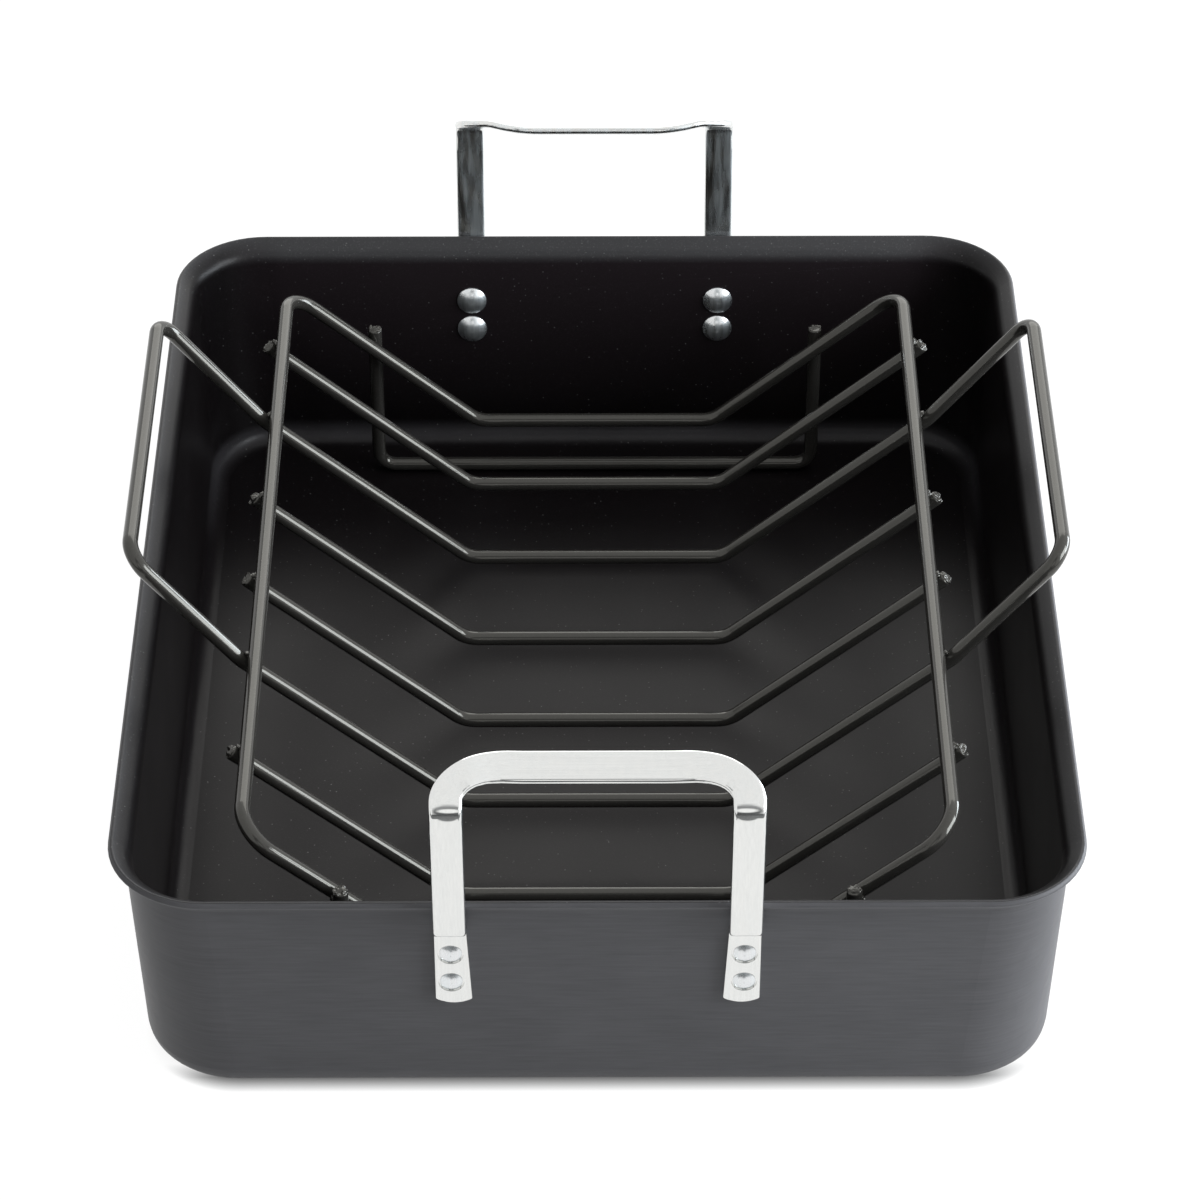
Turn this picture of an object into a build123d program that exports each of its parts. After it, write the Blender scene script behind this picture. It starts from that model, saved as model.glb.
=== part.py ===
"""Roasting pan with a lift-out V-shaped wire rack.

Sizes in millimetres. X runs across the pan, Y along it from handle to handle, Z up.
The origin is on the table under the middle of the pan.
"""

import os
from math import atan2, cos, hypot, radians, sin, tan

from build123d import *

os.makedirs("parts", exist_ok=True)

# Pan: size over the lip, height, and sheet
rim_width = 345.0
rim_length = 420.5
pan_height = 97.6
sheet_thickness = 2.5
side_draft_angle = 1.85
end_draft_angle = 3.05
upper_corner_radius = 29.6
lower_corner_radius = 34.5
base_bend_radius = 7.5

# Lip: the top of the wall flares out and ends in a rounded edge
lip_overhang = 5.7
lip_flare_angle = 52.0
lip_bend_radius = 6.0
lip_edge_radius = 0.9

# Handles: a flat strap, one at each end of the pan
strap_width = 11.6
strap_thickness = 3.0
strap_edge_radius = 1.4
strap_bend_radius = 3.4
strap_bend_lead = 0.8
post_spacing = 103.2
post_lean_angle = 6.9
post_lip_clearance = 0.6
post_height_above_rim = 48.5
grip_tilt_angle = 35.0
grip_reach = 17.0
grip_outer_corner_run = 28.0
grip_inner_corner_run = 13.0
smooth_joint_angle = 30.0

# Sag of the grip: how deep and long it is, and the shares of the slope that its bends take up
grip_sag = 3.15
grip_sag_run = 13.0
grip_sag_clearance = 0.4
sag_shoulder_share = 0.12
sag_hollow_share = 0.58

# Foot of each post: the strap steps in under the lip to reach the wall
foot_below_rim = 12.2
foot_slope_angle = 35.0
foot_bend_radius = 0.7
foot_landing_length = 1.2

# Tabs: the flattened ends of the strap, riveted to the wall
tab_thickness = 2.6
tab_top_below_rim = 15.5
tab_bottom_below_rim = 51.2
tab_flare_width = 1.6
tab_end_rise = 2.0
tab_corner_radius = 1.0
tab_edge_radius = 0.8

# Rivets: two in each tab
rivet_shank_radius = 2.5
rivet_hole_clearance = 0.05
outer_head_radius = 4.0
outer_head_height = 1.4
outer_head_edge = 0.3
inner_head_radius = 6.1
inner_head_height = 3.0
inner_head_edge = 0.6
dimple_radius = 4.6
dimple_depth = 0.7
upper_rivet_below_rim = 26.9
rivet_pitch = 13.7

# Rack: one wire gauge throughout, set down a little where wires are welded
wire_diameter = 5.7
weld_set_down = 0.3
rack_seat_clearance = 0.3
rack_shift = -1.6
rail_to_wall_gap = 38.2
end_wire_to_wall_gap = 31.75
rail_height = 94.8
cradle_floor_height = 29.3
cradle_floor_width = 98.4
frame_corner_radius = 14.0
cradle_bend_radius = 12.0
cross_wire_overhang = 6.4
wire_end_radius = 0.8
cross_wire_place_shares = (0.779, 0.174, -0.126, -0.724)

# Carry loop: two of the cross wires run on past the rails and join up outside
loop_wire_place_shares = (0.485, -0.408)
loop_reach = 44.3
loop_rise = 46.0
loop_corner_radius = 9.5
loop_arm_bend_radius = 14.0

# Rack legs: their places along the slope of the end wire, and how far they run past it
leg_place_share = 0.5475
leg_overrun = 7.0
leg_corner_radius = 7.0

# Pan sizes that follow from the values above
half_width = rim_width / 2
half_length = rim_length / 2
half_sheet = sheet_thickness / 2
flare_sine = sin(radians(lip_flare_angle))
flare_cosine = cos(radians(lip_flare_angle))
lip_bend_run = lip_bend_radius * (1 - flare_cosine)
lip_bend_rise = lip_bend_radius * flare_sine
edge_rounding = lip_edge_radius * (flare_sine + flare_cosine - 1)
edge_run = half_sheet * (1 - flare_cosine) + edge_rounding
edge_rise = half_sheet * flare_sine - edge_rounding
flare_length = (lip_overhang - lip_bend_run + edge_run) / flare_sine
wall_top = pan_height - lip_bend_rise - flare_length * flare_cosine - edge_rise
lip_edge_height = pan_height - sheet_thickness * flare_sine
wall_half_width = half_width - lip_overhang
wall_half_length = half_length - lip_overhang
side_slope = tan(radians(side_draft_angle))
end_slope = tan(radians(end_draft_angle))
end_lean = radians(end_draft_angle)


def wall_x(height):
    """Half width over the outside of the side walls at a height."""
    return wall_half_width - (wall_top - height) * side_slope


def wall_y(height):
    """Half length over the outside of the end walls at a height."""
    return wall_half_length - (wall_top - height) * end_slope


def wall_corner(height):
    """Plan radius of the outside wall corner at a height."""
    return lower_corner_radius + (upper_corner_radius - lower_corner_radius) * height / wall_top


def is_sharp(edge, faces):
    """Whether two faces meet at a corner along an edge, rather than run on smoothly."""
    sides = [face for face in faces if any(edge.is_same(border) for border in face.edges())]
    normals = [face.normal_at(edge @ 0.5) for face in sides]
    return normals[0].get_angle(normals[1]) > smooth_joint_angle


# The front end wall: local Y runs up the wall and local Z points out of it
end_wall = Plane(
    origin=(0, -wall_y(0), 0),
    x_dir=(1, 0, 0),
    z_dir=(0, -cos(end_lean), -sin(end_lean)),
)
end_sheet = sheet_thickness * cos(end_lean)


def up_the_wall(drop_below_rim):
    """Distance up the sloping end wall to a point that far below the rim."""
    return (pan_height - drop_below_rim) / cos(end_lean)


rivet_heights = (
    up_the_wall(upper_rivet_below_rim),
    up_the_wall(upper_rivet_below_rim) - rivet_pitch,
)
rivet_places = [(side * post_spacing / 2, height) for side in (-1, 1) for height in rivet_heights]
rivet_hole_radius = rivet_shank_radius + rivet_hole_clearance

# Pan hollow: what the pan holds, cut from the full outer form
with BuildPart() as pan_hollow:
    for height in (sheet_thickness, wall_top):
        with BuildSketch(Plane.XY.offset(height)):
            RectangleRounded(
                2 * (wall_x(height) - sheet_thickness),
                2 * (wall_y(height) - sheet_thickness),
                wall_corner(height) - sheet_thickness,
            )
    loft(ruled=True)
    fillet(pan_hollow.edges().group_by(Axis.Z)[0], base_bend_radius)

# Pan body: drawn sheet with sloping walls, a bent base edge and a flared lip
with BuildPart() as pan_body:
    for height in (0, wall_top):
        with BuildSketch(Plane.XY.offset(height)):
            RectangleRounded(2 * wall_x(height), 2 * wall_y(height), wall_corner(height))
    loft(ruled=True)
    fillet(pan_body.edges().group_by(Axis.Z)[0], base_bend_radius + sheet_thickness)
    add(pan_hollow.part, mode=Mode.SUBTRACT)
    # The lip is one section carried round the top of the wall
    with BuildLine(Plane.XY.offset(wall_top)) as rim_line:
        FilletPolyline(
            (wall_half_width, -wall_half_length),
            (wall_half_width, wall_half_length),
            (-wall_half_width, wall_half_length),
            (-wall_half_width, -wall_half_length),
            radius=upper_corner_radius,
            close=True,
        )
    rim_start = rim_line.line @ 0
    rim_direction = rim_line.line % 0
    with BuildSketch(
        Plane(origin=rim_start, x_dir=rim_direction.cross(Vector(0, 0, 1)), z_dir=-rim_direction)
    ) as lip_section:
        with BuildLine():
            flare_start = (lip_bend_run - half_sheet, lip_bend_rise)
            bend_line = TangentArc((-half_sheet, 0), flare_start, tangent=(0, 1))
            PolarLine(bend_line @ 1, flare_length, 90 - lip_flare_angle)
        trace(line_width=sheet_thickness)
        fillet(lip_section.vertices().sort_by(Axis.X)[-2:], lip_edge_radius)
    sweep(path=rim_line.line)
    # Rivet holes through both end walls
    with BuildSketch(end_wall):
        with Locations(*rivet_places):
            Circle(rivet_hole_radius)
    rivet_holes = extrude(amount=-2 * sheet_thickness, mode=Mode.SUBTRACT)
    mirror(rivet_holes, about=Plane.XZ, mode=Mode.SUBTRACT)

pan_body.part.label = "pan_body"
export_step(pan_body.part, "parts/pan_body.step")

# Handle sizes, in the upright plane where X points out of the front wall and Y up
post_lean = radians(post_lean_angle)
grip_tilt = radians(grip_tilt_angle)
foot_slope = radians(foot_slope_angle)
half_strap = strap_thickness / 2
bend_axis_radius = strap_bend_radius + half_strap
foot_axis_radius = foot_bend_radius + half_strap
bend_turn = radians(90 + post_lean_angle - grip_tilt_angle)
bend_setback = bend_axis_radius * tan(bend_turn / 2)
bend_height = pan_height + post_height_above_rim
foot_height = pan_height - foot_below_rim


def post_axis(height):
    """How far out the middle of the post is at a height."""
    face_at_lip = half_length + post_lip_clearance
    return face_at_lip + half_strap / cos(post_lean) + (height - lip_edge_height) * tan(post_lean)


def landing_axis(height):
    """How far out the middle of the strap is where it lies on the wall."""
    return wall_y(height) + half_strap / cos(end_lean)


foot_step = post_axis(foot_height) - landing_axis(foot_height)
landing_height = foot_height - foot_step * tan(foot_slope) / (1 - end_slope * tan(foot_slope))
strap_end_height = landing_height - foot_bend_radius - foot_landing_length
bend_start_height = bend_height - bend_setback * cos(post_lean)
bend_start = (post_axis(bend_start_height), bend_start_height)
bend_end = (
    post_axis(bend_height) - bend_setback * cos(grip_tilt),
    bend_height + bend_setback * sin(grip_tilt),
)
corner_start = bend_setback + strap_bend_lead
post_planes = [
    Plane(origin=(side * post_spacing / 2, 0, 0), x_dir=(0, -1, 0), z_dir=(-1, 0, 0)) for side in (-1, 1)
]

# Handle posts: from the wall, out under the lip and up through the bend
with BuildPart() as handle_posts:
    with BuildSketch(*post_planes):
        with BuildLine():
            post_line = FilletPolyline(
                (landing_axis(strap_end_height), strap_end_height),
                (landing_axis(landing_height), landing_height),
                (post_axis(foot_height), foot_height),
                bend_start,
                radius=foot_axis_radius,
            )
            TangentArc(bend_start, bend_end, tangent=post_line % 1)
            PolarLine(bend_end, strap_bend_lead, 180 - grip_tilt_angle)
        trace(line_width=strap_thickness)
    extrude(amount=strap_width / 2, both=True)

# Handle grip: the strap turned flat, its middle pressed down for the fingers
grip_plane = Plane(
    origin=(0, -post_axis(bend_height), bend_height),
    x_dir=(1, 0, 0),
    z_dir=(0, -sin(grip_tilt), cos(grip_tilt)),
)
sag_plane = Plane(origin=grip_plane.origin, x_dir=(1, 0, 0), z_dir=-grip_plane.y_dir)
grip_outer_edge = grip_reach + strap_width / 2
grip_inner_edge = grip_reach - strap_width / 2
post_outer_edge = (post_spacing + strap_width) / 2
post_inner_edge = (post_spacing - strap_width) / 2
sag_slope_length = hypot(grip_sag_run, grip_sag)
sag_turn = atan2(grip_sag, grip_sag_run)
sag_shoulder_setback = sag_shoulder_share * sag_slope_length
sag_shoulder_radius = sag_shoulder_setback / tan(sag_turn / 2)
sag_hollow_radius = sag_hollow_share * sag_slope_length / tan(sag_turn / 2)
sag_start = post_inner_edge - grip_sag_clearance - sag_shoulder_setback
sag_end = sag_start - grip_sag_run
with BuildPart() as handle_grip:
    # Seen flat, both edges turn the corner along a quarter of an ellipse
    with BuildSketch(grip_plane):
        with BuildLine():
            outer_corner = EllipticalCenterArc(
                (post_outer_edge - grip_outer_corner_run, corner_start),
                grip_outer_corner_run,
                grip_outer_edge - corner_start,
            )
            inner_corner = EllipticalCenterArc(
                (post_inner_edge - grip_inner_corner_run, corner_start),
                grip_inner_corner_run,
                grip_inner_edge - corner_start,
            )
            Line(outer_corner @ 0, inner_corner @ 0)
            Polyline(outer_corner @ 1, (0, grip_outer_edge), (0, grip_inner_edge), inner_corner @ 1)
        make_face()
        mirror(about=Plane.YZ)
    extrude(amount=grip_sag + strap_thickness, both=True)
    with BuildSketch(sag_plane):
        with BuildLine():
            FilletPolyline(
                (-post_spacing, 0),
                (-sag_start, 0),
                (-sag_end, -grip_sag),
                (sag_end, -grip_sag),
                (sag_start, 0),
                (post_spacing, 0),
                radius=(sag_shoulder_radius, sag_hollow_radius, sag_hollow_radius, sag_shoulder_radius),
            )
        trace(line_width=strap_thickness)
    extrude(amount=-grip_reach - strap_width, mode=Mode.INTERSECT)

# Handle strap: posts and grip as one length, its edges rounded all along
with BuildPart() as handle_strap:
    add([handle_posts.part, handle_grip.part])
    strap_faces = handle_strap.faces()
    sharp_edges = handle_strap.edges().filter_by(lambda edge: is_sharp(edge, strap_faces))
    # The eight lowest edges bound the two ends on the wall, which the tabs cover
    fillet(sharp_edges.sort_by(Axis.Z)[8:], strap_edge_radius)

# Handle tabs: flat feet that widen towards the middle of the pan and end in an arc
tab_top = up_the_wall(tab_top_below_rim)
tab_bottom = up_the_wall(tab_bottom_below_rim)
tab_inner_foot = post_inner_edge - tab_flare_width
with BuildPart() as handle_tabs:
    with BuildSketch(end_wall) as tab_outline:
        with BuildLine():
            tab_sides = Polyline(
                (post_outer_edge, tab_bottom + tab_end_rise),
                (post_outer_edge, tab_top),
                (post_inner_edge, tab_top),
                (tab_inner_foot, tab_bottom + tab_end_rise),
            )
            tab_middle = (post_outer_edge + tab_inner_foot) / 2
            ThreePointArc(tab_sides @ 1, (tab_middle, tab_bottom), tab_sides @ 0)
        make_face()
        fillet(tab_outline.vertices().sort_by(Axis.Y)[:2], tab_corner_radius)
        mirror(about=Plane.YZ)
    extrude(amount=tab_thickness)
    outward = Axis(end_wall.origin, end_wall.z_dir)
    up_wall = Axis(end_wall.origin, end_wall.y_dir)
    face_edges = handle_tabs.faces().sort_by(outward)[-2:].edges()
    fillet(face_edges.sort_by(up_wall)[:-2], tab_edge_radius)

# Front handle: both posts, the grip and the two riveted tabs in one piece
with BuildPart() as front_handle:
    add([handle_strap.part, handle_tabs.part])
    with BuildSketch(end_wall.offset(tab_thickness - dimple_depth)):
        with Locations(*rivet_places):
            Circle(dimple_radius)
    extrude(amount=tab_thickness, mode=Mode.SUBTRACT)
    with BuildSketch(end_wall):
        with Locations(*rivet_places):
            Circle(rivet_hole_radius)
    extrude(amount=tab_thickness, mode=Mode.SUBTRACT)

front_handle.part.label = "front_handle"
export_step(front_handle.part, "parts/front_handle.step")

# Back handle: the same piece, handed for the other end
with BuildPart() as back_handle:
    mirror(front_handle.part, about=Plane.XZ)

back_handle.part.label = "back_handle"
export_step(back_handle.part, "parts/back_handle.step")

# Rivets: a domed head inside the pan, a smaller one set in the tab's dimple
head_seat = tab_thickness - dimple_depth
rivet_names = ("left_upper", "left_lower", "right_upper", "right_lower")
for rivet_name, (across, height) in zip(rivet_names, rivet_places):
    foot = end_wall.from_local_coords((across, height, 0))
    with BuildPart() as front_rivet:
        with BuildSketch(Plane(origin=foot, x_dir=(1, 0, 0), z_dir=-end_wall.y_dir)):
            with BuildLine():
                inner_dome = TangentArc(
                    (0, -end_sheet - inner_head_height),
                    (inner_head_radius, -end_sheet - inner_head_edge),
                    tangent=(1, 0),
                )
                outer_dome = TangentArc(
                    (0, head_seat + outer_head_height),
                    (outer_head_radius, head_seat + outer_head_edge),
                    tangent=(1, 0),
                )
                Polyline(
                    inner_dome @ 1,
                    (inner_head_radius, -end_sheet),
                    (rivet_shank_radius, -end_sheet),
                    (rivet_shank_radius, head_seat),
                    (outer_head_radius, head_seat),
                    outer_dome @ 1,
                )
                Line(inner_dome @ 0, outer_dome @ 0)
            make_face()
        revolve(axis=Axis(foot, end_wall.z_dir))
    with BuildPart() as back_rivet:
        mirror(front_rivet.part, about=Plane.XZ)
    front_rivet.part.label = f"front_{rivet_name}_rivet"
    back_rivet.part.label = f"back_{rivet_name}_rivet"
    export_step(front_rivet.part, f"parts/{front_rivet.part.label}.step")
    export_step(back_rivet.part, f"parts/{back_rivet.part.label}.step")

# Rack places: heights are above the pan floor, lengths run from the middle of the rack
wire_radius = wire_diameter / 2
weld_pitch = wire_diameter - weld_set_down
rack_floor = sheet_thickness + rack_seat_clearance
rail_x = wall_x(wall_top) - sheet_thickness - rail_to_wall_gap
rail_z = rack_floor + rail_height
end_wire_y = wall_y(wall_top) - sheet_thickness - end_wire_to_wall_gap
cradle_x = cradle_floor_width / 2
cradle_z = rack_floor + cradle_floor_height
cradle_angle = atan2(rail_z - cradle_z, rail_x - cradle_x)
cross_x = cradle_x + weld_pitch * tan(cradle_angle / 2)
cross_z = cradle_z - weld_pitch


def cross_wire_height(across):
    """Height of a cross wire's axis on its way up under the rail."""
    return cross_z + (across - cross_x) * tan(cradle_angle)


# Rack frame: two rails and the two end wires, bent from one length
with BuildPart() as rack_frame:
    with BuildLine() as frame_line:
        FilletPolyline(
            (0, rack_shift + end_wire_y, cradle_z),
            (cradle_x, rack_shift + end_wire_y, cradle_z),
            (rail_x, rack_shift + end_wire_y, rail_z),
            (rail_x, rack_shift - end_wire_y, rail_z),
            (cradle_x, rack_shift - end_wire_y, cradle_z),
            (0, rack_shift - end_wire_y, cradle_z),
            radius=(cradle_bend_radius, frame_corner_radius, frame_corner_radius, cradle_bend_radius),
        )
    with BuildSketch(Plane(origin=frame_line.line @ 0, z_dir=frame_line.line % 0)):
        Circle(wire_radius)
    sweep()
    mirror(about=Plane.YZ)

rack_frame.part.label = "rack_frame"
export_step(rack_frame.part, "parts/rack_frame.step")

# Cross wires: welded under the rails, their cut ends stand a little proud outside
cross_wire_names = ("back", "mid_back", "mid_front", "front")
for wire_name, place_share in zip(cross_wire_names, cross_wire_place_shares):
    wire_y = rack_shift + place_share * end_wire_y
    tip_x = rail_x + cross_wire_overhang
    with BuildPart() as cross_wire:
        with BuildLine() as cross_line:
            FilletPolyline(
                (-tip_x, wire_y, cross_wire_height(tip_x)),
                (-cross_x, wire_y, cross_z),
                (cross_x, wire_y, cross_z),
                (tip_x, wire_y, cross_wire_height(tip_x)),
                radius=cradle_bend_radius,
            )
        with BuildSketch(Plane(origin=cross_line.line @ 0, z_dir=cross_line.line % 0)):
            Circle(wire_radius)
        sweep()
        wire_ends = cross_wire.faces().sort_by(Axis.X)
        fillet([*wire_ends[0].edges(), *wire_ends[-1].edges()], wire_end_radius)
    cross_wire.part.label = f"rack_{wire_name}_cross_wire"
    export_step(cross_wire.part, f"parts/{cross_wire.part.label}.step")

# Carry loop: passes under the rails like a cross wire, then climbs to the side bars
arm_x = rail_x + wire_diameter
side_x = rail_x + loop_reach
side_z = rail_z + loop_rise
loop_back_y, loop_front_y = (rack_shift + share * end_wire_y for share in loop_wire_place_shares)
with BuildPart() as rack_carry_loop:
    with BuildLine() as loop_line:
        FilletPolyline(
            (0, loop_back_y, cross_z),
            (cross_x, loop_back_y, cross_z),
            (arm_x, loop_back_y, cross_wire_height(arm_x)),
            (side_x, loop_back_y, side_z),
            (side_x, loop_front_y, side_z),
            (arm_x, loop_front_y, cross_wire_height(arm_x)),
            (cross_x, loop_front_y, cross_z),
            (0, loop_front_y, cross_z),
            radius=(
                cradle_bend_radius,
                loop_arm_bend_radius,
                loop_corner_radius,
                loop_corner_radius,
                loop_arm_bend_radius,
                cradle_bend_radius,
            ),
        )
    with BuildSketch(Plane(origin=loop_line.line @ 0, z_dir=loop_line.line % 0)):
        Circle(wire_radius)
    sweep()
    mirror(about=Plane.YZ)

rack_carry_loop.part.label = "rack_carry_loop"
export_step(rack_carry_loop.part, "parts/rack_carry_loop.step")

# Rack legs: a U of wire welded outside each end wire, standing on the pan floor
leg_x = cradle_x + leg_place_share * (rail_x - cradle_x)
foot_z = rack_floor + wire_radius
leg_top = cradle_z + leg_place_share * (rail_z - cradle_z) + leg_overrun
for leg_name, side in (("back", 1), ("front", -1)):
    leg_y = rack_shift + side * (end_wire_y + weld_pitch)
    with BuildPart() as rack_leg:
        with BuildLine() as leg_line:
            FilletPolyline(
                (-leg_x, leg_y, leg_top),
                (-leg_x, leg_y, foot_z),
                (leg_x, leg_y, foot_z),
                (leg_x, leg_y, leg_top),
                radius=leg_corner_radius,
            )
        with BuildSketch(Plane(origin=leg_line.line @ 0, z_dir=leg_line.line % 0)):
            Circle(wire_radius)
        sweep()
        wire_ends = rack_leg.faces().sort_by(Axis.Z)[-2:]
        fillet(wire_ends.edges(), wire_end_radius)
    rack_leg.part.label = f"rack_{leg_name}_leg"
    export_step(rack_leg.part, f"parts/{rack_leg.part.label}.step")
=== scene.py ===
"""Finishes, welds and studio for a deep roasting pan with riveted handles and a lift-out wire rack."""

import math

import bmesh
import bpy
from mathutils import Euler, Matrix, Vector, noise


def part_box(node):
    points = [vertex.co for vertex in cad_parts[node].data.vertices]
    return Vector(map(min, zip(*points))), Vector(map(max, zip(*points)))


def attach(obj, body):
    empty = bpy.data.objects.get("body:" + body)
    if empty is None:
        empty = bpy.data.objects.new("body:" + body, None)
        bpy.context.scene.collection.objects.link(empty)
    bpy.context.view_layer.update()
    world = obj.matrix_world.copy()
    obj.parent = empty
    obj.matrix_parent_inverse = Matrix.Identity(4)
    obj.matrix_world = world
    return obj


bl_info = {
    "name": "Roasting pan with rack",
    "version": (1, 0, 0),
    "blender": (4, 5, 0),
    "location": "3D View > Sidebar > Roasting pan",
    "description": "Finishes a coated roasting pan, its steel handles and its wire rack",
    "category": "Object",
}

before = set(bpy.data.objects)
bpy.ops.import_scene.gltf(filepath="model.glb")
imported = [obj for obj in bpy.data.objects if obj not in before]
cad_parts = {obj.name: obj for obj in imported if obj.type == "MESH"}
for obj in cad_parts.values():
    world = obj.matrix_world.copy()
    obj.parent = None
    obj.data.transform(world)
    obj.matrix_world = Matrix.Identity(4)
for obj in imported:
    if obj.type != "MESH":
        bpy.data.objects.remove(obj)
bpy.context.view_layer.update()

RIVETS = [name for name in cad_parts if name.endswith("_rivet")]
WIRES = [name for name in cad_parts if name.startswith("rack_")]

# Where one look of the pan gives way to another, in metres from its middle or above its base
LONG_WALL = (0.130, 0.155)
END_WALL = (0.2045, 0.2085)
# Where the painted highlight on the base bend lies: the back part of the pan, and the heights where the band
# fades in and out
BACK_BEND = (0.12, 0.17)
BASE_BEND_START = (0.0025, 0.005)
BASE_BEND_END = (0.008, 0.012)
# Height from which the painted light on the inner walls starts to rise toward the lip
WALL_FOOT = 0.015

# Lip: how far above its start its painted light sets in on the end walls, and how it does on the long ones,
# where it keeps close to the edge
LIP_FADE = 0.004
EDGE_BEFORE_LIP = 0.001
EDGE_PAST_LIP = 0.009
EDGE_POWER = 5.0

# How much a face that looks upward counts as inside, and how soft the change of sides is
UPWARD_SHARE = 0.12
SIDE_BLUR = 0.006

# Part of a noise's range that a colour, a roughness or a share runs over
NOISE_RANGE = (0.3, 0.7)
TONE_RANGE = (0.32, 0.68)
HAZE_RANGE = (0.34, 0.66)
FLECK_RANGE = (0.56, 0.78)
DUST_RANGE = (0.55, 0.8)

# Coating of the sheet: sizes in metres, shares, gains and the spread of its roughness
BROAD_PATCH = (0.03, 0.03, 0.02)
CLOUD_SIZE = 0.05
STREAK_SHARE = 0.7
BROAD_SHARE = 0.3
# Flecks on the lip are this many times lighter, in step with its painted light
FLECK_GAIN_ON_LIP = 4
SPECK_EDGE = (0.08, 0.13)
SPECK_CHOICE = (0.5, 1.0)
SPECK_SHARE_ON_LIP = 0.45
SPECK_COLOUR = (0.10, 0.10, 0.10)
INNER_SPREAD = 0.02
OUTER_SPREAD = 0.04
SHEET_IOR = 1.25

# Strap of the handles, in metres: where its posts stand, the grip ends and a bend's crown fades
POST_PLACE = 0.0516
GRIP_END = (0.040, 0.046)
BEND_REACH = (0.0065, 0.0115)

# Squares of distances across the strap, in square metres, and the square of half its width in mm2
SQUARE_LIMIT = 3.4e-5
DENT_SQUARES = (2.0e-6, 1.4e-5)
MM2_IN_M2 = 1e6
HALF_STRAP_SQUARE_MM2 = 33.6

# Dent in a tab: how far it reaches below the post, and how it deepens
DENT_REACH = 0.006
DENT_POWER = 2.0

# Polish: size of one patch of haze, tint of the darkest line, and the haze of each piece
HAZE_PATCH = (0.0030, 0.0030, 0.05)
DARK_LINE = 0.95
FRONT_HAZE = 0.4
FRONT_UNEVENNESS = 0.3
BACK_HAZE = 1.0
BACK_UNEVENNESS = 0.95
RIVET_HAZE = 0.65
RIVET_UNEVENNESS = 0.4
RIVET_INNER_GAIN = 2.4

# Coating of the wire
DUST_SIZE = 0.0007
DUST_GAIN = 1.6
WIRE_SMOOTHER = 0.02
WIRE_DULLER = 0.03
WIRE_IOR = 1.55

# Weld beads: places as shares of half a wire from a rail's or a leg's middle line
RAIL_BEAD_OUT = 1.02
RAIL_BEAD_DROP = 0.05
INNER_BEAD_BACK = 0.25
INNER_BEAD_DROP = 1.2
INNER_BEAD_SPREAD = 0.55
LEG_BEAD_SINK = 0.05
LEG_BEADS = ((-1.5, -0.9), (0.3, 0.95))

# How far a leg's top stands above its welds, in metres
LEG_TOP_DROP = 0.007

# Weld beads: steps of the seeds that make each one different, then their turns, shape and lumps
RAIL_SEED_STEPS = (3.7, 5.1, 7.3)
LEG_SEED_STEP = 11
BEAD_TURNS = (1.0, 0.7, 1.3)
BEAD_SHAPE = (1.0, 1.25, 0.9, 1.0)
BEAD_LUMP_PITCH = 1.7
BEAD_LUMP_GAIN = 2
BEAD_SMOOTHING = 0.3

# Cut ends: widths as shares of half a wire, then pitch, seed step and height of lumps and ridges
CUT_SHAPE = (0.98, 0.90)
CUT_TURN = 1.9
CUT_LUMPS = (1.6, 3.3, 1.3)
CUT_RIDGES = (3.1, 2.7, 1.1)

# Depth within which the points of a wire count as its end face, in metres
END_FACE_DEPTH = 1e-4

# What the lamps and the screen face, in metres
VIEW_MIDDLE = (0, 0, 0.06)

# Lamps: turn and rise in degrees, distance, sides, strength, colour, and whether metal mirrors them
LAMPS = (
    ("back_panel", 4.0, 32.0, 1.7, (1.75, 1.15), 1.7, (1.0, 0.99, 0.955), True),
    ("right_panel", 111.0, 22.0, 1.3, (0.85, 0.70), 9.5, (0.92, 0.96, 1.0), True),
    ("side_panel", 76.0, 8.0, 1.3, (1.0, 0.4), 13.0, (0.86, 0.93, 1.0), True),
    ("top_panel", 90.0, 66.0, 1.9, (2.2, 2.2), 1.4, (1.0, 1.0, 1.0), False),
)

# Floor: where the contact shadow fades toward the back, and what is left of it there
SHADOW_FADE = (-0.194, -0.187)
SHADOW_BEHIND = 0.1
SHADOW_SAMPLES = 24

# Floor: where the dark patch that metal mirrors fades, how dark it is, and how it bends at a post
PATCH_FADE = (-0.40, -0.37)
PATCH_DARKNESS = 0.98
PATCH_BEND = 60.0
PATCH_BEND_LIMIT = 0.0025

# Floor: how white it is, and the share of that which the eye sees instead of its lit colour
FLOOR_WHITE = 1.08
FLOOR_WHITE_SHARE = 0.9

# Screen behind the camera: its distance and rise from what it faces, and half its sides
SCREEN_DISTANCE = 2.1
SCREEN_RISE = math.radians(28)
SCREEN_SIDES = (1.1, 1.4, 1.0)

# Light spot in the screen, and the shades around it, which grow lighter upward and beside the middle
SPOT_RISE = math.radians(26)
SPOT_REACH = (0.40, 0.45, 0.45)
SPOT_EDGE = (0.7, 1.15)
SPOT_STRENGTH = 1.15
LOW_SHADE_HEIGHTS = (1.05, 1.35)
LOW_SHADES = (0.08, 0.26)
HIGH_SHADE_HEIGHTS = (1.7, 2.25)
HIGH_SHADES = (0.0, 0.6)
BESIDE_REACH = (0.62, 9.0, 1.3)
BESIDE_EDGE = (0.75, 1.0)
BESIDE_HEIGHTS = (0.25, 0.5)

# Camera
SENSOR_WIDTH = 36.0
CLIP_START = 0.05
CLIP_END = 50.0


def colour_setting(name, description, default):
    """A colour that shows as a swatch in the panel."""
    return bpy.props.FloatVectorProperty(
        name=name, description=description, default=default, subtype="COLOR", size=3, min=0, max=1
    )


def share_setting(name, description, default):
    """A value from nothing to all."""
    return bpy.props.FloatProperty(
        name=name, description=description, default=default, min=0, max=1, subtype="FACTOR"
    )


def length_setting(name, description, default):
    """A length in metres."""
    return bpy.props.FloatProperty(
        name=name, description=description, default=default, unit="LENGTH", precision=5
    )


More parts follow.
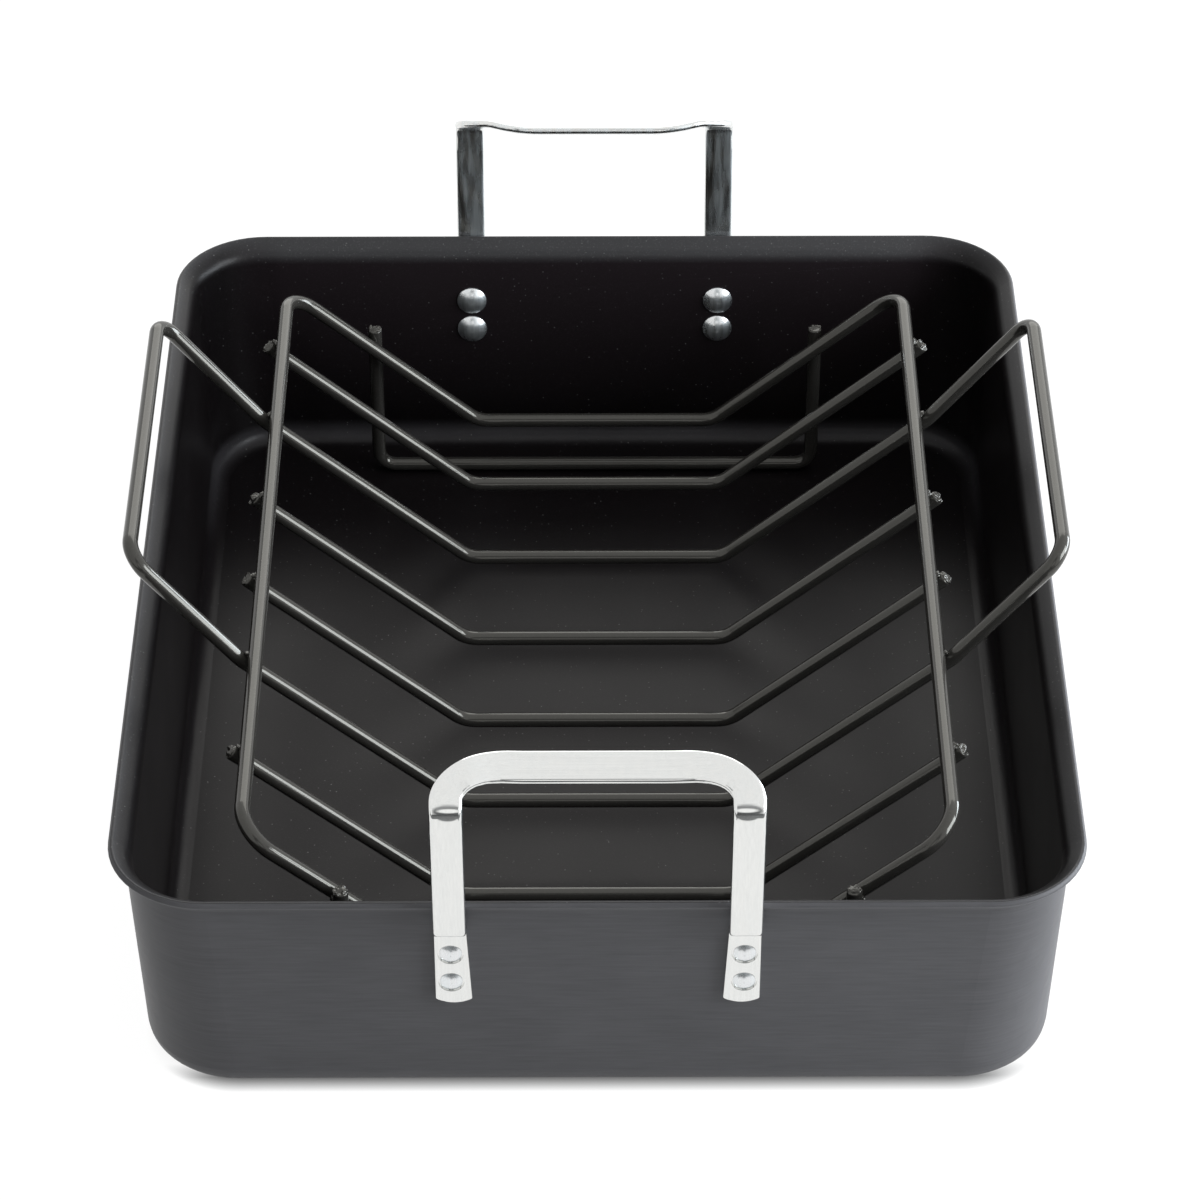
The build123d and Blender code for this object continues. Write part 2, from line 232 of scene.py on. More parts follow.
class PanFinish(bpy.types.PropertyGroup):
    """Colours and textures of the coated sheet, and the light and shade painted into its inside."""

    outer_colour: colour_setting("Outside colour", "Colour of the outside", (0.0634, 0.0632, 0.0674))
    outer_light: colour_setting("Grain colour", "Lightest streaks outside", (0.0842, 0.0838, 0.0888))
    outer_roughness: share_setting("Outside roughness", "How matt the outside is", 0.42)
    grain_pitch: length_setting("Grain pitch", "Height of one streak of the grain", 0.0009)
    grain_length: length_setting("Grain length", "Length of one streak of the grain", 0.018)
    grain_depth: length_setting("Grain depth", "Depth of the grain", 0.00001)
    inner_colour: colour_setting("Inside colour", "Colour of the nonstick inside", (0.0040, 0.0032, 0.0036))
    # Painted light: the end walls inside grow lighter from the inside colour at their foot up to this colour
    # at the lip.
    end_wall_painted_light: colour_setting("End wall colour", "Colour inside below the lip", (0.0145, 0.0110, 0.0128))
    # Painted shade: the long walls inside stay this dark, darker than the end walls.
    long_wall_painted_shade: colour_setting("Side wall colour", "Long walls inside", (0.0032, 0.0026, 0.0029))
    # Painted highlight along the bend where the floor meets the back wall inside.
    bend_painted_highlight: colour_setting("Bend colour", "Colour of the bend at the base", (0.0230, 0.0220, 0.0240))
    # Painted light on the flared lip.
    lip_painted_light: colour_setting("Lip colour", "Colour of the lip", (0.0345, 0.0345, 0.0362))
    inner_light: colour_setting("Fleck colour", "Colour of the flecks inside", (0.008, 0.0075, 0.008))
    inner_roughness: share_setting("Inside roughness", "How matt the inside is", 0.32)
    fleck_size: length_setting("Fleck size", "Width of one fleck", 0.0008)
    fleck_depth: length_setting("Fleck depth", "Relief of the flecks", 0.00002)
    speck_pitch: length_setting("Speck pitch", "Distance between the light specks", 0.0024)
    lip_height: length_setting("Lip height", "Height at which the lip begins", 0.0885)


class SteelFinish(bpy.types.PropertyGroup):
    """Polish of the handles and rivets."""

    colour: colour_setting("Steel colour", "Colour of the polished steel", (0.79, 0.79, 0.77))
    roughness: share_setting("Handle roughness", "How dull the handles are", 0.09)
    line_pitch: length_setting("Polishing line pitch", "Width of one polishing line", 0.0006)
    line_length: length_setting("Polishing line length", "Length of one polishing line", 0.04)
    line_depth: length_setting("Polishing line depth", "Depth of the lines", 0.000002)
    haze: share_setting("Haze", "How much of the light the polishing lines scatter", 0.22)
    haze_colour: colour_setting("Haze colour", "Colour of the scattered light", (0.72, 0.79, 0.82))
    haze_roughness: share_setting("Haze roughness", "How widely they scatter it", 0.5)
    post_place: length_setting("Post place", "How far out the posts stand", POST_PLACE)
    bend_place: bpy.props.FloatVectorProperty(
        name="Bend place",
        description="How far along the pan and how high the bends are",
        default=(0.2157, 0.1461),
        unit="LENGTH",
        size=2,
    )
    crown_depth: length_setting("Crown", "Rise of the middle of the strap at a bend", 0.00042)
    tab_top: length_setting("Tab top", "Height at which the posts meet their tabs", 0.0838)
    tab_dent: length_setting("Tab dent", "Depth of the dent in a tab below its post", 0.0007)
    rivet_colour: colour_setting("Rivet colour", "Colour of the rivets", (0.78, 0.78, 0.78))
    rivet_roughness: share_setting("Rivet roughness", "How dull the rivets are", 0.2)


class WireFinish(bpy.types.PropertyGroup):
    """Coating of the rack and the size of its welds."""

    colour: colour_setting("Wire colour", "Colour of the coated wire", (0.026, 0.025, 0.023))
    gloss_colour: colour_setting("Gloss colour", "Tint of the coating's gloss", (1.0, 0.99, 0.92))
    roughness: share_setting("Wire roughness", "How dull the coating is", 0.11)
    ripple_size: length_setting("Ripple size", "Width of one ripple of the coating", 0.0035)
    ripple_depth: length_setting("Ripple depth", "Height of the ripples", 0.000005)
    weld_radius: length_setting("Weld radius", "Half the width of a weld bead", 0.0013)
    weld_lumps: length_setting("Weld lumps", "How uneven a bead is", 0.0005)
    cut_depth: length_setting("Cut depth", "Half the thickness of the torn edge at a cut end", 0.0009)
    slope: bpy.props.FloatProperty(
        name="Slope", description="Slope of the cradle's sides", default=math.radians(40.4), subtype="ANGLE"
    )


class StudioSetup(bpy.types.PropertyGroup):
    """Camera, lamps and floor."""

    camera_place: bpy.props.FloatVectorProperty(
        name="Camera place",
        description="Where the camera stands",
        default=(-0.0034, -1.4054, 1.1614),
        subtype="TRANSLATION",
        unit="LENGTH",
        size=3,
    )
    camera_pitch: bpy.props.FloatProperty(
        name="Camera pitch",
        description="How far the camera looks down",
        default=math.radians(37.893),
        subtype="ANGLE",
    )
    camera_turn: bpy.props.FloatProperty(
        name="Camera turn",
        description="How far the camera looks to the right",
        default=0.0035,
        subtype="ANGLE",
    )
    lens: bpy.props.FloatProperty(
        name="Lens", description="Focal length on a 36 mm sensor", default=138.3165, unit="CAMERA"
    )
    room_light: bpy.props.FloatProperty(
        name="Room light", description="Light from all sides", default=0.36, min=0
    )
    floor_size: length_setting("Floor size", "Side of the floor", 12.0)
    floor_colour: colour_setting("Floor colour", "Colour of the floor", (0.92, 0.92, 0.92))
    contact_reach: length_setting("Contact shadow", "Reach of the shadow under the pan", 0.0052)


class Shading:
    """A node tree with short ways to add nodes and join them."""

    def __init__(self, owner):
        owner.use_nodes = True
        self.tree = owner.node_tree
        self.tree.nodes.clear()

    def put(self, socket, value):
        """Joins a socket to an output, or sets its own value."""
        if isinstance(value, bpy.types.NodeSocket):
            self.tree.links.new(value, socket)
        else:
            socket.default_value = value

    def node(self, kind, inputs=None, **settings):
        """Adds a node with its settings and inputs."""
        made = self.tree.nodes.new(kind)
        for name, value in settings.items():
            setattr(made, name, value)
        for key, value in (inputs or {}).items():
            self.put(made.inputs[key], value)
        return made

    def math(self, operation, *values):
        """A sum on one or two values."""
        made = self.node("ShaderNodeMath", operation=operation)
        for socket, value in zip(made.inputs, values):
            self.put(socket, value)
        return made.outputs[0]

    def stretch(self, vector, sizes):
        """Coordinates in which one unit is the given size along each axis."""
        scale = [1 / size for size in sizes]
        return self.node(
            "ShaderNodeVectorMath", {0: vector, 1: scale}, operation="MULTIPLY"
        ).outputs[0]

    def noise(self, vector, detail=3.0, roughness=0.5):
        """Soft noise with one lump to each unit."""
        return self.node(
            "ShaderNodeTexNoise",
            {"Vector": vector, "Scale": 1.0, "Detail": detail, "Roughness": roughness},
        ).outputs["Fac"]

    def span(self, value, low, high, to_low=0.0, to_high=1.0):
        """Carries a value from one range to another, and stops at its ends."""
        return self.node(
            "ShaderNodeMapRange",
            {"Value": value, "From Min": low, "From Max": high, "To Min": to_low, "To Max": to_high},
            clamp=True,
        ).outputs["Result"]

    def blend(self, share, first, second, kind="RGBA"):
        """Goes from the first to the second colour or value as the share rises."""
        made = self.node("ShaderNodeMix", data_type=kind)
        sockets = {"RGBA": (6, 7, 2), "FLOAT": (2, 3, 0)}[kind]
        self.put(made.inputs[0], share)
        for key, value in zip(sockets, (first, second)):
            full = (*value, 1.0) if isinstance(value, (tuple, list)) else value
            self.put(made.inputs[key], full)
        return made.outputs[sockets[2]]

    def bump(self, height, depth, below=None):
        """Relief of the given depth."""
        inputs = {"Height": height, "Distance": depth}
        if below is not None:
            inputs["Normal"] = below
        return self.node("ShaderNodeBump", inputs).outputs["Normal"]

    def position(self, place):
        """The three parts of a position, each with its own output."""
        return self.node("ShaderNodeSeparateXYZ", {0: place}).outputs

    def seen(self, path):
        """One where the eye or a reflection looks, and nothing where light only falls."""
        mirrored = self.math("MAXIMUM", path.outputs["Is Glossy Ray"], path.outputs["Is Transmission Ray"])
        return self.math("MAXIMUM", path.outputs["Is Camera Ray"], mirrored)

    def finish(self, shader, output="ShaderNodeOutputMaterial"):
        """Joins the shader to the output."""
        self.tree.links.new(shader, self.node(output).inputs["Surface"])


def plain_colour(value):
    """A colour setting as a plain tuple."""
    return tuple(value)


def coated_sheet(finish):
    """Dark sheet: fine level streaks outside, flecked nonstick coating inside, with painted light and shade
    on the inner walls, a painted highlight on the base bend at the back and painted light on the lip.
    """
    material = bpy.data.materials.new("coated_sheet")
    made = Shading(material)
    coordinates = made.node("ShaderNodeTexCoord")
    place = coordinates.outputs["Object"]
    normal = coordinates.outputs["Normal"]
    flat_normal = made.node(
        "ShaderNodeVectorMath", {0: normal, 1: (1, 1, 0)}, operation="MULTIPLY"
    ).outputs[0]
    outward = made.node(
        "ShaderNodeVectorMath", {0: flat_normal, 1: place}, operation="DOT_PRODUCT"
    ).outputs["Value"]
    upward = made.position(normal)["Z"]
    spot = made.position(place)
    height = spot["Z"]
    inward = made.math("SUBTRACT", made.math("MULTIPLY", upward, UPWARD_SHARE), outward)
    inside = made.span(inward, -SIDE_BLUR, SIDE_BLUR)

    streak = made.noise(
        made.stretch(place, (finish.grain_length, finish.grain_length, finish.grain_pitch)),
        detail=4.0,
        roughness=0.6,
    )
    broad = made.noise(made.stretch(place, BROAD_PATCH), detail=3.0)
    tone = made.math(
        "ADD", made.math("MULTIPLY", streak, STREAK_SHARE), made.math("MULTIPLY", broad, BROAD_SHARE)
    )
    outer = made.blend(
        made.span(tone, *TONE_RANGE), plain_colour(finish.outer_colour), plain_colour(finish.outer_light)
    )

    fleck = made.noise(made.stretch(place, (finish.fleck_size,) * 3), detail=2.0, roughness=0.7)
    cloud = made.noise(made.stretch(place, (CLOUD_SIZE,) * 3), detail=3.0)
    along_side = made.span(made.math("ABSOLUTE", spot["X"]), *LONG_WALL)
    # Painted light and shade: the inner walls go from the inside colour at their foot to the end walls'
    # painted light or the long walls' painted shade at the lip.
    wall = made.blend(
        made.span(height, WALL_FOOT, finish.lip_height),
        plain_colour(finish.inner_colour),
        made.blend(along_side, plain_colour(finish.end_wall_painted_light), plain_colour(finish.long_wall_painted_shade)),
    )
    # Painted highlight: a lighter band along the base bend, at the back only, standing in for the reflection
    # of the back lamp.
    bend_highlight_place = made.math(
        "MULTIPLY", made.span(height, *BASE_BEND_START), made.span(height, *BASE_BEND_END, 1.0, 0.0)
    )
    bend_highlight_place = made.math("MULTIPLY", bend_highlight_place, made.span(spot["Y"], *BACK_BEND))
    wall = made.blend(bend_highlight_place, wall, plain_colour(finish.bend_painted_highlight))
    lip = finish.lip_height
    # Painted light on the lip: over all of it on the end walls, close to its edge on the long ones. The same
    # share makes flecks lighter and specks more frequent there.
    lip_light_toward_edge = made.math(
        "POWER", made.span(height, lip - EDGE_BEFORE_LIP, lip + EDGE_PAST_LIP), EDGE_POWER
    )
    lip_light_and_specks = made.blend(along_side, made.span(height, lip, lip + LIP_FADE), lip_light_toward_edge, "FLOAT")
    # The coating's colour with the painted wall light and shade, bend highlight and lip light in it.
    coating = made.blend(lip_light_and_specks, wall, plain_colour(finish.lip_painted_light))
    fleck_colour = made.blend(
        lip_light_and_specks,
        plain_colour(finish.inner_light),
        tuple(FLECK_GAIN_ON_LIP * part for part in finish.inner_light),
    )
    inner = made.node(
        "ShaderNodeMix",
        {0: made.span(fleck, *FLECK_RANGE), 6: coating, 7: fleck_colour},
        data_type="RGBA",
        blend_type="ADD",
    ).outputs[2]
    cell = made.node(
        "ShaderNodeTexVoronoi",
        {"Vector": made.stretch(place, (finish.speck_pitch,) * 3), "Scale": 1.0},
    )
    chosen = made.position(cell.outputs["Color"])["X"]
    often = made.math("ADD", chosen, made.math("MULTIPLY", lip_light_and_specks, SPECK_SHARE_ON_LIP))
    speck = made.math(
        "MULTIPLY",
        made.span(cell.outputs["Distance"], *SPECK_EDGE, 1.0, 0.0),
        made.span(often, *SPECK_CHOICE),
    )
    inner = made.blend(speck, inner, SPECK_COLOUR)

    inner_roughness = made.span(
        cloud, *NOISE_RANGE, finish.inner_roughness - INNER_SPREAD, finish.inner_roughness + INNER_SPREAD
    )
    outer_roughness = made.span(
        streak, *NOISE_RANGE, finish.outer_roughness - OUTER_SPREAD, finish.outer_roughness + OUTER_SPREAD
    )
    relief_inside = made.bump(fleck, finish.fleck_depth)
    relief_outside = made.bump(streak, finish.grain_depth)
    relief = made.node(
        "ShaderNodeMix", {0: inside, 4: relief_outside, 5: relief_inside}, data_type="VECTOR"
    ).outputs[1]
    shader = made.node(
        "ShaderNodeBsdfPrincipled",
        {
            "Base Color": made.blend(inside, outer, inner),
            "Roughness": made.blend(inside, outer_roughness, inner_roughness, "FLOAT"),
            "Normal": relief,
            "IOR": SHEET_IOR,
        },
    )
    made.finish(shader.outputs[0])
    return material


def polished_steel(finish, name, colour, roughness, haze, unevenness, inner_gain=1.0):
    """Bright steel with fine polishing lines along the strap; its inner side can be hazier than the outer."""
    material = bpy.data.materials.new(name)
    made = Shading(material)
    place = made.node("ShaderNodeTexCoord").outputs["Object"]
    spot = made.position(place)
    across = made.math("ABSOLUTE", spot["X"])
    on_grip = made.span(across, *GRIP_END, 1.0, 0.0)
    upright = made.noise(
        made.stretch(place, (finish.line_pitch, finish.line_pitch, finish.line_length)), detail=3.0
    )
    level = made.noise(
        made.stretch(place, (finish.line_length, finish.line_pitch, finish.line_pitch)), detail=3.0
    )
    lines = made.blend(on_grip, upright, level, "FLOAT")
    across_post = made.math("SUBTRACT", across, finish.post_place)
    square = made.math("MINIMUM", made.math("MULTIPLY", across_post, across_post), SQUARE_LIMIT)
    bend = made.node(
        "ShaderNodeVectorMath",
        {
            0: made.node("ShaderNodeVectorMath", {0: place}, operation="ABSOLUTE").outputs[0],
            1: (finish.post_place, *finish.bend_place),
        },
        operation="DISTANCE",
    ).outputs["Value"]
    crown = made.math("MULTIPLY", square, made.span(bend, *BEND_REACH, -1.0, 0.0))
    relief = made.bump(made.math("MULTIPLY", crown, MM2_IN_M2), finish.crown_depth / HALF_STRAP_SQUARE_MM2)
    dent = made.math(
        "MULTIPLY",
        made.math("POWER", made.span(spot["Z"], finish.tab_top - DENT_REACH, finish.tab_top), DENT_POWER),
        made.span(square, *DENT_SQUARES, -1.0, 0.0),
    )
    in_tab = made.math("LESS_THAN", spot["Z"], finish.tab_top)
    relief = made.bump(made.math("MULTIPLY", dent, in_tab), finish.tab_dent, below=relief)
    normal = made.bump(lines, finish.line_depth, below=relief)
    sharp, hazy = (
        made.node(
            "ShaderNodeBsdfPrincipled",
            {
                "Base Color": made.blend(
                    made.span(lines, *NOISE_RANGE), tuple(DARK_LINE * part for part in tint), tint
                ),
                "Metallic": 1.0,
                "Roughness": dullness,
                "Normal": normal,
            },
        ).outputs[0]
        for tint, dullness in ((colour, roughness), (plain_colour(finish.haze_colour), finish.haze_roughness))
    )
    patch = made.noise(made.stretch(place, HAZE_PATCH), detail=2.0)
    gain = made.span(made.math("ABSOLUTE", spot["Y"]), *END_WALL, inner_gain, 1.0)
    share = made.span(patch, *HAZE_RANGE, (1 - unevenness) * haze, (1 + unevenness) * haze)
    share = made.math("MULTIPLY", share, gain)
    made.finish(made.node("ShaderNodeMixShader", {0: share, 1: sharp, 2: hazy}).outputs[0])
    return material


def wire_coating(finish):
    """Semi-gloss coating that flowed a little before it set."""
    material = bpy.data.materials.new("wire_coating")
    made = Shading(material)
    place = made.node("ShaderNodeTexCoord").outputs["Object"]
    ripple = made.noise(made.stretch(place, (finish.ripple_size,) * 3), detail=2.0)
    dust = made.noise(made.stretch(place, (DUST_SIZE,) * 3), detail=2.0, roughness=0.7)
    colour = plain_colour(finish.colour)
    shader = made.node(
        "ShaderNodeBsdfPrincipled",
        {
            "Base Color": made.blend(
                made.span(dust, *DUST_RANGE), colour, tuple(DUST_GAIN * part for part in colour)
            ),
            "Roughness": made.span(
                ripple, *NOISE_RANGE, finish.roughness - WIRE_SMOOTHER, finish.roughness + WIRE_DULLER
            ),
            "Normal": made.bump(ripple, finish.ripple_depth),
            "IOR": WIRE_IOR,
            "Specular Tint": (*finish.gloss_colour, 1.0),
        },
    )
    made.finish(shader.outputs[0])
    return material


def give(nodes, material):
    """Puts a material in the slots of CAD nodes."""
    for name in nodes:
        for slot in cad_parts[name].material_slots:
            slot.material = material


def new_piece(name, shape, material):
    """Turns a finished bmesh into an object of the scene."""
    mesh = bpy.data.meshes.new(name)
    shape.to_mesh(mesh)
    shape.free()
    mesh.materials.append(material)
    piece = bpy.data.objects.new(name, mesh)
    bpy.context.scene.collection.objects.link(piece)
    return piece


def keep_piece(name, shape, material, body):
    """Turns a finished bmesh into a named piece that rides on a CAD body."""
    bmesh.ops.recalc_face_normals(shape, faces=shape.faces)
    piece = new_piece(name, shape, material)
    piece.data.polygons.foreach_set("use_smooth", [True] * len(piece.data.polygons))
    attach(piece, body)


class ROASTER_OT_finish_pan(bpy.types.Operator):
    """Gives the pan its streaked outside and flecked nonstick inside"""

    bl_idname = "roaster.finish_pan"
    bl_label = "Finish the pan"

    def execute(self, context):
        give(["pan_body"], coated_sheet(context.scene.roaster_pan))
        return {"FINISHED"}


class ROASTER_OT_finish_handles(bpy.types.Operator):
    """Polishes the two strap handles"""

    bl_idname = "roaster.finish_handles"
    bl_label = "Finish the handles"

    def execute(self, context):
        steel = context.scene.roaster_steel
        colour = plain_colour(steel.colour)
        for name, haze, unevenness in (
            ("front_handle", FRONT_HAZE, FRONT_UNEVENNESS),
            ("back_handle", BACK_HAZE, BACK_UNEVENNESS),
        ):
            polish = polished_steel(
                steel, name + "_steel", colour, steel.roughness, haze * steel.haze, unevenness
            )
            give([name], polish)
        return {"FINISHED"}


class ROASTER_OT_finish_rivets(bpy.types.Operator):
    """Polishes the eight rivets"""

    bl_idname = "roaster.finish_rivets"
    bl_label = "Finish the rivets"

    def execute(self, context):
        steel = context.scene.roaster_steel
        polish = polished_steel(
            steel,
            "rivet_steel",
            plain_colour(steel.rivet_colour),
            steel.rivet_roughness,
            RIVET_HAZE * steel.haze,
            RIVET_UNEVENNESS,
            RIVET_INNER_GAIN,
        )
        give(RIVETS, polish)
        return {"FINISHED"}


class ROASTER_OT_finish_rack(bpy.types.Operator):
    """Coats the wires of the rack"""

    bl_idname = "roaster.finish_rack"
    bl_label = "Finish the rack"

    def execute(self, context):
        give(WIRES, wire_coating(context.scene.roaster_wire))
        return {"FINISHED"}


class ROASTER_OT_add_welds(bpy.types.Operator):
    """Adds the weld beads where the rack's wires cross"""

    bl_idname = "roaster.add_welds"
    bl_label = "Add the welds"

    def execute(self, context):
        wire = context.scene.roaster_wire
        coating = bpy.data.materials["wire_coating"]
        half_wire = (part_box("rack_back_cross_wire")[1].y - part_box("rack_back_cross_wire")[0].y) / 2
        low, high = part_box("rack_frame")
        rail_welds = bmesh.new()
        self.weld_rails(rail_welds, high, half_wire, wire)
        keep_piece("rack_rail_welds", rail_welds, coating, "rack")
        leg_welds = bmesh.new()
        self.weld_leg(leg_welds, "rack_back_leg", 1, high.y, half_wire, wire)
        self.weld_leg(leg_welds, "rack_front_leg", -1, low.y, half_wire, wire)
        keep_piece("rack_leg_welds", leg_welds, coating, "rack")
        cut_ends = bmesh.new()
        self.tear_ends(cut_ends, half_wire, wire)
        keep_piece("rack_cut_ends", cut_ends, coating, "rack")
        return {"FINISHED"}

    def weld_rails(self, shape, high, half_wire, wire):
        """Three beads at each crossing: one outside the rail and two inside, below it."""
        places = []
        for name in WIRES:
            if name.endswith("cross_wire"):
                near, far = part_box(name)
                places.append((near.y + far.y) / 2)
        near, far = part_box("rack_carry_loop")
        places += [near.y + half_wire, far.y - half_wire]
        rail_x = high.x - half_wire
        rail_z = high.z - half_wire
        outer_x = rail_x + RAIL_BEAD_OUT * half_wire
        outer_z = rail_z - RAIL_BEAD_DROP * half_wire
        inner_x = rail_x - INNER_BEAD_BACK * half_wire
        inner_z = rail_z - INNER_BEAD_DROP * half_wire
        spread = Vector((0, INNER_BEAD_SPREAD * half_wire, 0))
        outer_seed, far_seed, near_seed = RAIL_SEED_STEPS
        for number, place in enumerate(places):
            for side in (-1, 1):
                outer = Vector((side * outer_x, place, outer_z))
                inner = Vector((side * inner_x, place, inner_z))
                self.bead(shape, outer, wire, outer_seed * number + side)
                self.bead(shape, inner + spread, wire, far_seed * number + side)
                self.bead(shape, inner - spread, wire, near_seed * number + side)

    def weld_leg(self, shape, name, side_y, end_y, half_wire, wire):
        """Two beads at each top of a leg, where it meets the end wire."""
        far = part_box(name)[1]
        for side in (-1, 1):
            across = side * (far.x - half_wire)
            for rise, shift in LEG_BEADS:
                spot = Vector(
                    (
                        across + side * shift * half_wire,
                        end_y - LEG_BEAD_SINK * half_wire * side_y,
                        far.z - LEG_TOP_DROP + rise * half_wire,
                    )
                )
                self.bead(shape, spot, wire, LEG_SEED_STEP * rise + side * side_y)

    def tear_ends(self, shape, half_wire, wire):
        """The cut ends of the single cross wires and of the legs."""
        number = 0
        for name in WIRES:
            for side in (-1, 1):
                if name.endswith("cross_wire"):
                    way = Vector((side * math.cos(wire.slope), 0, math.sin(wire.slope)))
                    spot = self.tip(name, way, 0)
                elif name.endswith("leg"):
                    way = Vector((0, 0, 1))
                    spot = self.tip(name, way, side)
                else:
                    continue
                number += 1
                self.cut_end(shape, spot, way, half_wire, wire, number)

    def tip(self, name, way, side):
        """The middle of a wire's end face: the farthest part, in a direction, of one side of the node."""
        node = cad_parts[name]
        spots = [node.matrix_world @ vertex.co for vertex in node.data.vertices]
        spots = [spot for spot in spots if spot.x * side >= 0]
        far = max(spot.dot(way) for spot in spots)
        end = [spot for spot in spots if spot.dot(way) > far - END_FACE_DEPTH]
        return sum(end, Vector()) / len(end)

    def cut_end(self, shape, spot, way, half_wire, wire, seed):
        """The torn, uneven face that shears leave on a wire."""
        turn = way.to_track_quat("Z", "Y").to_matrix().to_4x4() @ Matrix.Rotation(CUT_TURN * seed, 4, "Z")
        wide, narrow = CUT_SHAPE
        stretch = Matrix.Diagonal((half_wire * wide, half_wire * narrow, wire.cut_depth, 1.0))
        lump_pitch, lump_step, lump_height = CUT_LUMPS
        ridge_pitch, ridge_step, ridge_height = CUT_RIDGES
        made = bmesh.ops.create_icosphere(
            shape, subdivisions=4, radius=1.0, matrix=Matrix.Translation(spot) @ turn @ stretch
        )
        for vertex in made["verts"]:
            place = (vertex.co - spot) / half_wire
            lump = noise.noise(place * lump_pitch + Vector((seed * lump_step, 0, 0)))
            ridge = abs(noise.noise(place * ridge_pitch + Vector((0, seed * ridge_step, 0))))
            vertex.co += way * (lump * lump_height - ridge * ridge_height) * wire.cut_depth

    def bead(self, shape, spot, wire, seed):
        """One uneven bead of weld metal."""
        turn = Euler([share * seed for share in BEAD_TURNS]).to_matrix().to_4x4()
        stretch = Matrix.Diagonal(BEAD_SHAPE)
        made = bmesh.ops.create_icosphere(
            shape, subdivisions=3, radius=wire.weld_radius, matrix=Matrix.Translation(spot) @ turn @ stretch
        )
        for vertex in made["verts"]:
            away = (vertex.co - spot).normalized()
            lump = noise.noise(away * BEAD_LUMP_PITCH + Vector((seed, 0, 0)))
            vertex.co += away * lump * wire.weld_lumps * BEAD_LUMP_GAIN
        bmesh.ops.smooth_vert(
            shape,
            verts=made["verts"],
            factor=BEAD_SMOOTHING,
            use_axis_x=True,
            use_axis_y=True,
            use_axis_z=True,
        )


